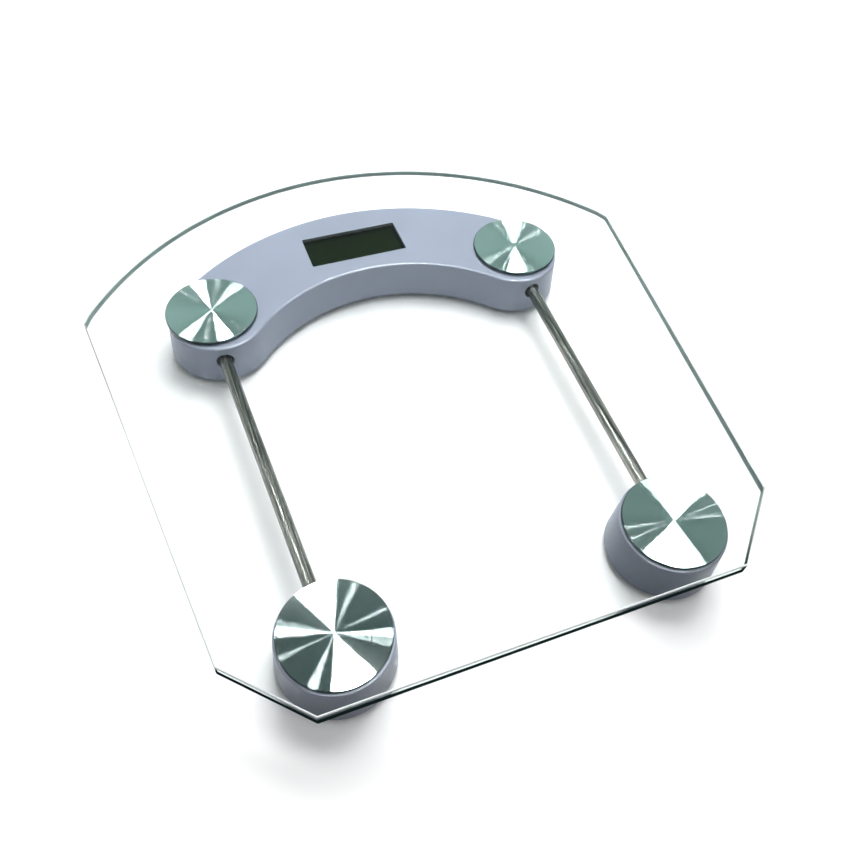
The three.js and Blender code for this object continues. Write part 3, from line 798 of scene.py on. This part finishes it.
# ---- Base covers --------------------------------------------------------------------------------

CAP_HOLE_R = 13.4 * MM
COLLAR_INNER, COLLAR_OUTER, COLLAR_TOP = 14.6 * MM, 16.6 * MM, 9 * MM


def plate_profile(half):
    """A base cover's section: a flat plate with eased edges."""

    def outer(z):
        return half + DRAFT * (HOUSING_TOP - z) - WALL - GAP

    corners = [
        (outer(BASE_Z) - CAP_INSET, BASE_Z),
        (outer(BASE_Z), BASE_Z, 0.4 * MM),
        (outer(COVER_TOP), COVER_TOP, 0.3 * MM),
        (outer(COVER_TOP) - CAP_INSET, COVER_TOP),
    ]
    return filleted(corners, steps=4)


def collar(foot):
    corners = [
        (COLLAR_INNER, COVER_TOP - 0.1 * MM),
        (COLLAR_OUTER, COVER_TOP - 0.1 * MM),
        (COLLAR_OUTER, COLLAR_TOP, 0.4 * MM),
        (COLLAR_INNER, COLLAR_TOP, 0.4 * MM),
    ]
    return turned("cutter", foot.x, foot.y, filleted(corners, 3, closed=True), 96, closed=True)


def foot_hole(foot):
    """A hole with a rounded lip on the underside."""
    flare = 0.5 * MM
    profile = [
        (0, BASE_Z - flare),
        (CAP_HOLE_R + 2 * flare, BASE_Z - flare),
        (CAP_HOLE_R + flare, BASE_Z),
        (CAP_HOLE_R + 0.15 * MM, BASE_Z + 0.35 * MM),
        (CAP_HOLE_R, BASE_Z + 0.8 * MM),
        (CAP_HOLE_R, COVER_TOP + 1 * MM),
        (0, COVER_TOP + 1 * MM),
    ]
    return turned("cutter", foot.x, foot.y, profile, 96)


def screw_seats(spots):
    """Stepped holes: a wide seat for the head below a narrow one for the shank."""
    seat_r, shank_r, seat_top = 3.2 * MM, 1.6 * MM, 5.2 * MM
    tools = []
    for x, y in spots:
        profile = [
            (0, BASE_Z - 0.5 * MM),
            (seat_r + 0.6 * MM, BASE_Z - 0.5 * MM),
            (seat_r, BASE_Z + 0.2 * MM),
            (seat_r, seat_top),
            (shank_r, seat_top),
            (shank_r, COVER_TOP + 1 * MM),
            (0, COVER_TOP + 1 * MM),
        ]
        tools.append(turned("cutter", x, y, profile, 48))
    return tools


def add_display_base_cover():
    feet = [middle(f"foot_pad_rear_{hand}") for hand in HANDS]
    button = middle("unit_button")
    x, y, width, depth = BATTERY["x"], BATTERY["y"], BATTERY["width"], BATTERY["depth"]
    wall = 4 * MM
    well_top = BATTERY["top"] + 1.5 * MM
    well = box(x, y, width + 2 * wall, depth + 2 * wall, COVER_TOP - 0.1 * MM, well_top, 1 * MM)
    plate = swept("bow_base_cover", bow(), plate_profile(BOW_HALF))
    fuse(plate, [collar(foot) for foot in feet] + [well])
    cut(plate, [
        *(foot_hole(foot) for foot in feet),
        *screw_seats(bow_screws()),
        box(x, y, width, depth, COVER_TOP - 1 * MM, BATTERY["top"], 0.6 * MM),
        rod(button.x, button.y, BUTTON_R + PLAY, BASE_Z - 1 * MM, COVER_TOP + 1 * MM),
    ])
    width, depth, below = DOOR["width"] + 2 * GAP, DOOR["depth"] + 2 * GAP, BASE_Z - 1 * MM
    cut(plate, [box(x, y, width, depth, below, COVER_TOP - 0.05 * MM, 1.3 * MM)])
    lug_depth, lug_width, lug_x = 3.6 * MM, 5.6 * MM, 8 * MM
    hinge_y = y + DOOR["depth"] / 2 + lug_depth / 2
    size = (lug_width, lug_depth + 0.4 * MM, below, COVER_TOP - 0.1 * MM, 0.3 * MM)
    hinge_cuts = [box(x + side * lug_x, hinge_y, *size) for side in HANDS.values()]
    finger = rod(x, y - DOOR["depth"] / 2 - 0.2 * MM, 6 * MM, below, BASE_Z + 1.2 * MM)
    cut(plate, [*hinge_cuts, finger])
    label = box(40 * MM, 97 * MM, 20 * MM, 9 * MM, below, BASE_Z + 0.25 * MM, 1 * MM)
    cut(plate, [label])
    add_piece(plate, ["display_base_cover"], FINISHES["cover_plastic"])


def add_front_base_cover(hand):
    foot = middle(f"foot_pad_front_{hand}")
    outline = circle(foot.x, foot.y, 120)
    plate = swept(f"front_base_cover_fine_{hand}", outline, plate_profile(FRONT_RADIUS))
    fuse(plate, [collar(foot)])
    cut(plate, [foot_hole(foot), *screw_seats(front_screws(hand))])
    add_piece(plate, [f"front_base_cover_{hand}"], FINISHES["cover_plastic"])


# ---- Corners ------------------------------------------------------------------------------------


def add_disc(corner):
    """A disc with a turned face, a chamfer and a plain rim. The face has its own finish; the chamfer,
    rim and underside are near-black, as painted shade.
    """
    node = f"mount_disc_{corner}"
    centre = middle(node)
    chamfer, skin = 0.35 * MM, 1 * MM
    hole_r = 2.2 * MM
    boss_z = low(node).z
    under = DISC_TOP - DISC_T
    corners = [
        (0, DISC_TOP - skin),
        (hole_r, DISC_TOP - skin),
        (hole_r, boss_z),
        (DISC_BOSS_R, boss_z, 0.3 * MM),
        (DISC_BOSS_R, under),
        (DISC_R, under, 0.25 * MM),
        (DISC_R, DISC_TOP - chamfer),
        (DISC_R - chamfer, DISC_TOP),
        (0, DISC_TOP),
    ]
    disc = turned(f"spun_disc_{corner}", centre.x, centre.y, filleted(corners, 4), 160)
    add_piece(disc, [node], FINISHES["spun_aluminium"])
    disc.data.materials.append(FINISHES["turned_edge"])
    # Every face but the top gets the near-black edge finish: painted shade.
    for polygon in disc.data.polygons:
        if polygon.normal.z < 0.9:
            polygon.material_index = 1


def cross_recess(x, y, z0, depth, size):
    """A Phillips recess, opening downwards, as two crossed bars."""
    arm = 0.32 * size
    return [
        box(x, y, size, arm, z0 - 0.5 * MM, z0 + depth, 0.1 * MM),
        box(x, y, arm, size, z0 - 0.5 * MM, z0 + depth, 0.1 * MM),
    ]


def add_pan_screw(name, node, head_r, head_t, shank_r, size):
    """A pan-head screw, head down, with rolled threads along its shank."""
    centre = middle(node)
    z0, z1 = low(node).z, high(node).z
    profile = [(0, z0), (0.55 * head_r, z0 + 0.03 * MM), (0.85 * head_r, z0 + 0.14 * MM)]
    profile += [(head_r, z0 + 0.4 * head_t), (head_r, z0 + head_t), (shank_r, z0 + head_t)]
    pitch, root_r = 0.9 * MM, 0.8 * shank_r
    threads = int((z1 - z0 - head_t - 1.2 * MM) / pitch)
    for i in range(threads):
        z = z0 + head_t + 0.4 * MM + i * pitch
        profile += [(root_r, z), (shank_r, z + 0.35 * pitch)]
        profile += [(shank_r, z + 0.5 * pitch), (root_r, z + 0.85 * pitch)]
    profile += [(root_r, z1 - 0.7 * MM), (0.3 * shank_r, z1), (0, z1)]
    screw = turned(name, centre.x, centre.y, profile, 40)
    for tool in cross_recess(centre.x, centre.y, z0, 0.35 * MM, size):
        cut(screw, [tool])
    add_piece(screw, [node], FINISHES["plated_steel"])


def add_foot_pad(corner):
    """A rubber pad with ring-shaped lands that touch the floor, and grooves between them."""
    node = f"foot_pad_{corner}"
    centre = middle(node)
    top = high(node).z
    pad_r = (high(node).x - low(node).x) / 2
    groove, land, slope, pitch = 0.5 * MM, 1.6 * MM, 0.25 * MM, 2.9 * MM
    profile = [(0, groove)]
    radius = 2.2 * MM
    while radius + land < pad_r - 1.2 * MM:
        profile += [(radius, groove), (radius + slope, 0)]
        profile += [(radius + land, 0), (radius + land + slope, groove)]
        radius += pitch
    rim = [(pad_r, 0, 0.8 * MM), (pad_r, top, 0.2 * MM), (0, top)]
    profile += filleted([(radius, groove), (radius + slope, 0), *rim], 5)
    pad = turned(f"rubber_pad_{corner}", centre.x, centre.y, profile, 96)
    add_piece(pad, [node], FINISHES["pad_rubber"])


def add_foot_cap(corner):
    """A plunger whose lip keeps it in its hole and whose stem presses on the load cell."""
    node = f"foot_cap_{corner}"
    centre = middle(node)
    z0, z1 = low(node).z, high(node).z
    cap_r, lip_r, lip_z, lip_top, stem_r = 13 * MM, 14.3 * MM, 6.3 * MM, 7.3 * MM, 4 * MM
    corners = [
        (0, z0),
        (cap_r, z0, 0.5 * MM),
        (cap_r, lip_z, 0.15 * MM),
        (lip_r, lip_z, 0.2 * MM),
        (lip_r, lip_top, 0.2 * MM),
        (stem_r, lip_top, 0.3 * MM),
        (stem_r, z1, 0.8 * MM),
        (0, z1),
    ]
    cap = turned(f"foot_cap_fine_{corner}", centre.x, centre.y, filleted(corners, 4), 96)
    add_piece(cap, [node], FINISHES["foot_plastic"])


def add_load_cell(corner):
    """A pressed plate with a tongue freed by a U-shaped slot."""
    node = f"load_cell_{corner}"
    centre = middle(node)
    z0, z1 = low(node).z, high(node).z
    width = high(node).x - low(node).x
    outline = rounded_rect(centre.x, centre.y, width, width, 3 * MM)
    plate = stacked(f"load_cell_fine_{corner}", outline, edged(z0, z1, 0.25 * MM, 2))
    half, bar = 11 * MM, 2 * MM
    levels = (z0 - 1 * MM, z1 + 1 * MM, 0.9 * MM)
    cut(plate, [box(centre.x, centre.y - half + bar / 2, 2 * half, bar, *levels)])
    for side in HANDS.values():
        x = centre.x + side * (half - bar / 2)
        cut(plate, [box(x, centre.y, bar, 2 * half, *levels)])
    add_piece(plate, [node], FINISHES["plated_steel"])


def add_corners():
    for corner in corners():
        add_disc(corner)
        add_foot_pad(corner)
        add_foot_cap(corner)
        add_load_cell(corner)
        node = f"disc_screw_{corner}"
        add_pan_screw(f"disc_screw_fine_{corner}", node, 7 * MM, 1.3 * MM, 1.9 * MM, 3 * MM)


# ---- Tubes --------------------------------------------------------------------------------------


def add_tube(hand):
    edge = 0.2 * MM
    corners = [
        (TUBE_BORE, 0, edge),
        (TUBE_R, 0, edge),
        (TUBE_R, TUBE_LENGTH, edge),
        (TUBE_BORE, TUBE_LENGTH, edge),
    ]
    tube = turned(f"brushed_tube_{hand}", 0, 0, filleted(corners, 3, closed=True), 72, closed=True)
    placed(tube, tube_turn(hand))
    add_piece(tube, [f"connecting_tube_{hand}"], FINISHES["tube_steel_" + hand])


def add_grommet(hand, at_rear):
    """A rubber grommet: a sleeve in the wall, with its flange inside."""
    end = "rear" if at_rear else "front"
    bore, sleeve, flange = TUBE_R + GAP, 4.7 * MM, 6.2 * MM
    length, flange_at, from_end = 4.4 * MM, 3 * MM, 3 * MM
    edge = 0.25 * MM
    corners = [
        (bore, 0, edge),
        (sleeve, 0, edge),
        (sleeve, flange_at, edge),
        (flange, flange_at, edge),
        (flange, length, edge),
        (bore, length, edge),
    ]
    grommet = turned(f"grommet_{end}_{hand}", 0, 0, filleted(corners, 3, closed=True), 64, closed=True)
    reach = length + from_end
    if at_rear:
        place = Matrix.Translation((0, 0, TUBE_LENGTH - reach))
    else:
        place = Matrix.Translation((0, 0, reach)) @ Matrix.Rotation(math.pi, 4, "X")
    placed(grommet, tube_turn(hand) @ place)
    add_piece(grommet, [f"tube_grommet_{end}_{hand}"], FINISHES["grommet_rubber"])


# ---- Display and electronics --------------------------------------------------------------------


def add_slab(name, node, slot, radius, edge):
    """A flat rectangular piece with rounded corners and eased edges, the size of its CAD node."""
    size, centre = high(node) - low(node), middle(node)
    outline = rounded_rect(centre.x, centre.y, size.x, size.y, radius)
    slab = stacked(name, outline, edged(low(node).z, high(node).z, edge, 3))
    add_piece(slab, [node], FINISHES[slot])


def add_display():
    add_slab("window_lens", "lcd_window", "window_plastic", 1.5 * MM, 0.15 * MM)
    add_slab("display_glass", "lcd_panel", "lcd_glass", 0.6 * MM, 0.12 * MM)
    add_slab("zebra_strip", "lcd_connector", "black_resin", 0.4 * MM, 0.1 * MM)


def add_button():
    """A dished button, with a flange that keeps it in the cover and a stem that meets the switch."""
    node = "unit_button"
    centre = middle(node)
    z0, z1 = low(node).z, high(node).z
    flange_r, stem_r = 5.2 * MM, 2 * MM
    flange_z = COVER_TOP + PLAY
    flange_top = flange_z + 1 * MM
    corners = [
        (0, z0 + 0.25 * MM),
        (BUTTON_R - 0.9 * MM, z0 + 0.05 * MM, 2 * MM),
        (BUTTON_R, z0, 0.4 * MM),
        (BUTTON_R, flange_z, 0.1 * MM),
        (flange_r, flange_z, 0.2 * MM),
        (flange_r, flange_top, 0.2 * MM),
        (stem_r, flange_top, 0.2 * MM),
        (stem_r, z1, 0.3 * MM),
        (0, z1),
    ]
    button = turned("unit_button_cap", centre.x, centre.y, filleted(corners, 4), 72)
    add_piece(button, [node], FINISHES["button_rubber"], "unit_button")


def add_coin_cell():
    """A can whose slightly hollow face looks down, with the smaller stepped cap on top of it."""
    node = "coin_cell"
    centre = middle(node)
    z0, z1 = low(node).z, high(node).z
    radius = 10 * MM
    corners = [
        (0, z0 + 0.08 * MM),
        (radius - 1.6 * MM, z0 + 0.08 * MM, 0.3 * MM),
        (radius - 1.1 * MM, z0, 0.3 * MM),
        (radius, z0, 0.4 * MM),
        (radius, z1 - 0.35 * MM, 0.25 * MM),
        (radius - 1.1 * MM, z1 - 0.3 * MM, 0.1 * MM),
        (radius - 1.4 * MM, z1, 0.2 * MM),
        (0, z1),
    ]
    cell = turned("lithium_coin_cell", centre.x, centre.y, filleted(corners, 4), 96)
    add_piece(cell, [node], FINISHES["cell_steel"])


def add_battery_door():
    """A plate with rounded corners, three grip grooves and two arms that end in hinge barrels."""
    x, y = BATTERY["x"], BATTERY["y"]
    z1 = BASE_Z + DOOR["thickness"]
    outline = rounded_rect(x, y, DOOR["width"], DOOR["depth"], 1 * MM)
    door = stacked("battery_door_panel", outline, edged(BASE_Z, z1, 0.3 * MM, 3))
    hinge = next(j for j in frame["joints"] if j["name"] == "battery_door_hinge")
    pin = Vector(hinge["pos_m"])
    pin_r, lug, lug_x = 0.8 * MM, 5 * MM, 8 * MM
    arm_depth = pin.y - (y + DOOR["depth"] / 2) + 0.5 * MM
    arm_levels = (pin.z - 0.7 * MM, pin.z + 0.7 * MM, 0.1 * MM)
    quarter = Matrix.Rotation(math.pi / 2, 4, "Y")
    for side in HANDS.values():
        lug_at = x + side * lug_x
        fuse(door, [box(lug_at, pin.y - arm_depth / 2, lug, arm_depth, *arm_levels)])
        barrel = rod(0, 0, pin_r, -lug / 2, lug / 2, 32)
        fuse(door, [placed(barrel, Matrix.Translation((lug_at, pin.y, pin.z)) @ quarter)])
    first, pitch = y - DOOR["depth"] / 2 + 4 * MM, 2 * MM
    groove = (12 * MM, 0.8 * MM, BASE_Z - 1 * MM, BASE_Z + 0.4 * MM, 0.35 * MM)
    cut(door, [box(x, first + pitch * i, *groove) for i in range(3)])
    add_piece(door, ["battery_door"], FINISHES["cover_plastic"], "battery_door")


KEPT_NODES = {
    "circuit_board": "board_laminate",
    "controller_chip": "black_resin",
    "unit_switch": "black_resin",
    "battery_contact_negative": "plated_steel",
    "battery_contact_positive": "plated_steel",
    "sensor_cable_left": "cable_sheath",
    "sensor_cable_right": "cable_sheath",
    "rear_cell_lead_left": "cable_sheath",
    "rear_cell_lead_right": "cable_sheath",
}


def finish_kept_nodes():
    """Gives the CAD nodes that stay their own finish."""
    for name, finish in KEPT_NODES.items():
        node = frame["nodes"][name]
        for slot in node.material_slots:
            slot.material = FINISHES[finish]


# ---- Studio -------------------------------------------------------------------------------------


def add_camera():
    """A camera above the front left of the platform, rolled a little."""
    lens = bpy.data.cameras.new("camera")
    lens.sensor_width = 36
    lens.lens = 33.85
    lens.clip_start = 0.01
    lens.clip_end = 20
    camera = new_object("camera", lens)
    target = Vector((-7.9 * MM, -40.1 * MM, DISC_TOP))
    distance, azimuth, elevation = 422.0 * MM, math.radians(-25.12), math.radians(52.51)
    roll = math.radians(5.44)
    back = Vector((
        math.sin(azimuth) * math.cos(elevation),
        -math.cos(azimuth) * math.cos(elevation),
        math.sin(elevation),
    ))
    turn = back.to_track_quat("Z", "Y").to_matrix().to_4x4() @ Matrix.Rotation(roll, 4, "Z")
    camera.matrix_world = Matrix.Translation(target + back * distance) @ turn
    bpy.context.scene.camera = camera


def add_lamp(name, place, target, size, power, turn=0.0, matt=False):
    """A flat rectangular lamp that faces a target, turned about its own axis.

    A matt lamp lights the matt surfaces, and any other is seen in the shiny ones alone.
    """
    lamp = bpy.data.lights.new(name, "AREA")
    lamp.shape = "RECTANGLE"
    lamp.size, lamp.size_y = size
    lamp.energy = power
    obj = new_object(name, lamp)
    away = (Vector(place) - Vector(target)).to_track_quat("Z", "Y").to_matrix().to_4x4()
    obj.matrix_world = Matrix.Translation(Vector(place)) @ away @ Matrix.Rotation(turn, 4, "Z")
    obj.visible_camera = False
    obj.visible_diffuse = matt
    obj.visible_glossy = not matt
    obj.visible_transmission = not matt


def add_world():
    """A room with a dark ceiling and a brighter far side, which the camera sees as plain white."""
    world = bpy.data.worlds.new("studio")
    bpy.context.scene.world = world
    world.use_nodes = True
    tree = world.node_tree
    tree.nodes.clear()

    def node(kind, links=None, values=None):
        made = tree.nodes.new(kind)
        for key, value in (values or {}).items():
            made.inputs[key].default_value = value
        for key, source in (links or {}).items():
            tree.links.new(source, made.inputs[key])
        return made

    place = node("ShaderNodeTexCoord").outputs["Generated"]
    split = node("ShaderNodeSeparateXYZ", {"Vector": place})
    height = node("ShaderNodeValToRGB", {"Fac": split.outputs["Z"]})
    tones = [(0.45, 0.46), (0.70, 0.44), (0.82, 0.18), (0.88, 0.02)]
    teal = (0.72, 1.0, 0.93)
    stops = height.color_ramp.elements
    for _ in tones[2:]:
        stops.new(0.5)
    for stop, (position, tone) in zip(stops, tones):
        stop.position, stop.color = position, (*shade(teal, tone), 1)
    values = {"From Min": -0.5, "From Max": 0.3, "To Min": 0.06, "To Max": 1.0}
    side = node("ShaderNodeMapRange", {"Value": split.outputs["Y"]}, values)
    room = node("ShaderNodeBackground", {"Color": height.outputs[0], "Strength": side.outputs[0]})
    seen = node("ShaderNodeBackground", values={"Color": (1, 1, 1, 1)})
    ambient = node("ShaderNodeBackground", values={"Color": (0.22, 0.225, 0.23, 1)})
    path = node("ShaderNodeLightPath")
    surface = room
    for flag, shown in (("Is Diffuse Ray", ambient), ("Is Camera Ray", seen)):
        mix = node("ShaderNodeMixShader", {"Fac": path.outputs[flag]})
        tree.links.new(surface.outputs[0], mix.inputs[1])
        tree.links.new(shown.outputs[0], mix.inputs[2])
        surface = mix
    node("ShaderNodeOutputWorld", {"Surface": surface.outputs[0]})


def add_floor():
    half_side = 6
    bm = bmesh.new()
    bmesh.ops.create_grid(bm, x_segments=8, y_segments=8, size=half_side)
    floor = from_bmesh("studio_floor", bm)
    floor.data.materials.append(floor_finish())


def add_studio():
    add_floor()
    add_world()
    heart = (0, 0, 30 * MM)
    rear = (0, 60 * MM, 30 * MM)
    add_lamp("ceiling", (0.25, 0.42, 0.85), rear, (0.8, 0.6), 16, matt=True)
    add_lamp("front_fill", (0, -0.5, 1.2), (0, -0.5, 0), (1.2, 0.8), 3.5, matt=True)
    add_lamp("key", (0.216, -0.345, 1.23), (0.216, -0.345, 0), (0.182, 0.842), 60, turn=0.8)
    add_lamp("left_low", (-1.0, 0.20, 0.75), heart, (0.06, 0.4), 3)
    add_lamp("left_front", (-0.52, -0.32, 1.15), heart, (0.03, 0.4), 2.5)
    add_lamp("left_rear", (-0.45, 0.50, 0.98), heart, (0.04, 0.22), 2)
    add_lamp("right_high", (0.62, 0.0, 1.08), heart, (0.03, 0.18), 1)
    view = bpy.context.scene.view_settings
    view.view_transform = "Standard"
    view.exposure = 0.0
    # The lamps are seen through the glass, and a limit on indirect light would grey their wedges.
    bpy.context.scene.cycles.sample_clamp_indirect = 0


# ---- The scene ----------------------------------------------------------------------------------

add_camera()
add_glass()
add_display_housing()
add_display_base_cover()
small_screw = (2.6 * MM, 0.7 * MM, 1.3 * MM, 2.4 * MM)
for hand in HANDS:
    add_front_housing(hand)
    add_front_base_cover(hand)
    add_tube(hand)
    for at_rear in (False, True):
        add_grommet(hand, at_rear)
    for i in (1, 2):
        add_pan_screw(f"cover_screw_{hand}_{i}", f"front_cover_screw_{hand}_{i}", *small_screw)
for i in range(1, 7):
    add_pan_screw(f"bow_screw_{i}", f"bow_cover_screw_{i}", *small_screw)
add_corners()
add_display()
add_button()
add_coin_cell()
add_battery_door()
finish_kept_nodes()
add_studio()
